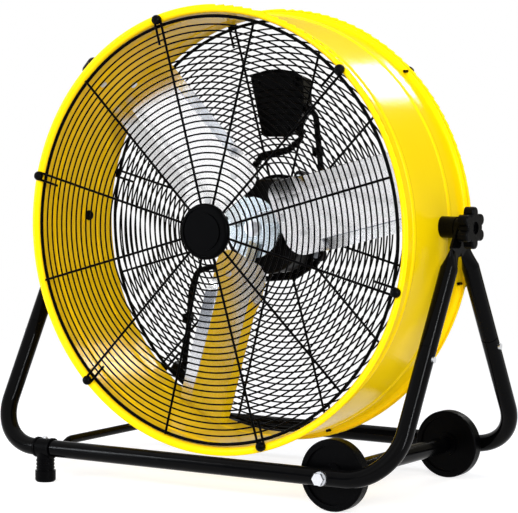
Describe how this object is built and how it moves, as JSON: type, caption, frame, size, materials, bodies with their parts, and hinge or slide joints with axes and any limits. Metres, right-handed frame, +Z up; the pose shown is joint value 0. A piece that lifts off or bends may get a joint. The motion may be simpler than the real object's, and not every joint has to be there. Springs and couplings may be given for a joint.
{
  "type": "drum fan",
  "caption": "Floor-standing drum fan: round sheet-metal drum with wire guards and a bladed rotor, tilting on clamp knobs in a bent-tube stand with wheels and rubber feet.",
  "frame": {"origin": "on the floor, under the middle of the fan's bounding box", "axes": "+X along the drum's pivots, towards the side with the wheels; -Y is the way the air blows; +Z up"},
  "size_m": [0.7398, 0.4316, 0.709],
  "materials": {
    "shell_paint": "glossy yellow powder coat",
    "stand_enamel": "glossy black powder coat",
    "guard_enamel": "satin black powder coat",
    "motor_enamel": "satin black enamel",
    "blade_aluminium": "brushed",
    "zinc_plate": "zinc plated",
    "bright_steel": "ground",
    "black_plastic": "fine moulded grain",
    "capacitor_case": "smooth",
    "wheel_rubber": "matt",
    "foot_rubber": "matt",
    "lead_rubber": "matt jacket"
  },
  "bodies": {
    "stand": {"left_upper_leg_front": "stand_enamel", "left_upper_leg_rear": "stand_enamel", "right_upper_leg_front": "stand_enamel", "right_upper_leg_rear": "stand_enamel", "left_front_corner_tube": "stand_enamel", "left_rear_corner_tube": "stand_enamel", "right_front_corner_tube": "stand_enamel", "right_rear_corner_tube": "stand_enamel", "front_rail": "stand_enamel", "rear_rail": "stand_enamel", "left_brace": "stand_enamel", "front_foot": "foot_rubber", "rear_foot": "foot_rubber", "stand_screws": "zinc_plate", "axle_rod": "zinc_plate", "axle_nut_and_washers": "zinc_plate", "axle_tube": "stand_enamel"},
    "drum": {"drum_shell": "shell_paint", "front_guard_spokes": "guard_enamel", "front_guard_rings": "guard_enamel", "front_guard_disc": "guard_enamel", "rear_guard_spokes": "guard_enamel", "rear_guard_rings": "guard_enamel", "guard_caps": "black_plastic", "guard_screws": "zinc_plate", "motor_plate": "guard_enamel", "motor_housing": "motor_enamel", "motor_front_bell": "motor_enamel", "motor_rear_bell": "motor_enamel", "motor_bearings": "bright_steel", "motor_stator": "bright_steel", "motor_ear_screws": "zinc_plate", "pivot_collars": "stand_enamel", "pivot_bolts": "zinc_plate", "pivot_backing_plates": "stand_enamel", "pivot_washers": "stand_enamel", "carry_handle": "black_plastic", "handle_screws": "zinc_plate", "box_plate": "motor_enamel", "box_cover": "black_plastic", "box_clamps_and_screws": "guard_enamel", "rotary_switch": "black_plastic", "capacitor": "capacitor_case", "lead_glands_and_clips": "black_plastic", "motor_lead": "lead_rubber", "supply_lead": "lead_rubber", "outlet_gland": "black_plastic"},
    "rotor": {"motor_shaft": "bright_steel", "motor_rotor_core": "bright_steel", "hub_spider": "blade_aluminium", "hub_bolt": "zinc_plate", "blade_1": "blade_aluminium", "blade_2": "blade_aluminium", "blade_3": "blade_aluminium", "blade_rivets": "zinc_plate"},
    "front_wheel": {"front_wheel": "wheel_rubber"},
    "rear_wheel": {"rear_wheel": "wheel_rubber"},
    "left_knob": {"left_clamp_knob": "black_plastic"},
    "right_knob": {"right_clamp_knob": "black_plastic"},
    "speed_knob": {"speed_knob": "black_plastic"}
  },
  "joints": [
    {"name": "drum_tilt", "type": "hinge", "parent": "stand", "child": "drum", "pos_m": [0, 0, 0.39], "axis": [1, 0, 0], "range_deg": [-90, 90]},
    {"name": "rotor_spin", "type": "hinge", "parent": "drum", "child": "rotor", "pos_m": [0, 0, 0.38], "axis": [0, 1, 0], "continuous": true},
    {"name": "front_wheel_spin", "type": "hinge", "parent": "stand", "child": "front_wheel", "pos_m": [0.24, -0.1684, 0.0508], "axis": [0, 1, 0], "continuous": true},
    {"name": "rear_wheel_spin", "type": "hinge", "parent": "stand", "child": "rear_wheel", "pos_m": [0.24, 0.1684, 0.0508], "axis": [0, 1, 0], "continuous": true},
    {"name": "left_knob_turn", "type": "hinge", "parent": "drum", "child": "left_knob", "pos_m": [-0.355, 0, 0.39], "axis": [-1, 0, 0], "range_deg": [0, 360]},
    {"name": "right_knob_turn", "type": "hinge", "parent": "drum", "child": "right_knob", "pos_m": [0.355, 0, 0.39], "axis": [1, 0, 0], "range_deg": [0, 360]},
    {"name": "speed_knob_turn", "type": "hinge", "parent": "drum", "child": "speed_knob", "pos_m": [-0.008, 0.112, 0.568], "axis": [0, -1, 0], "range_deg": [0, 180]}
  ]
}
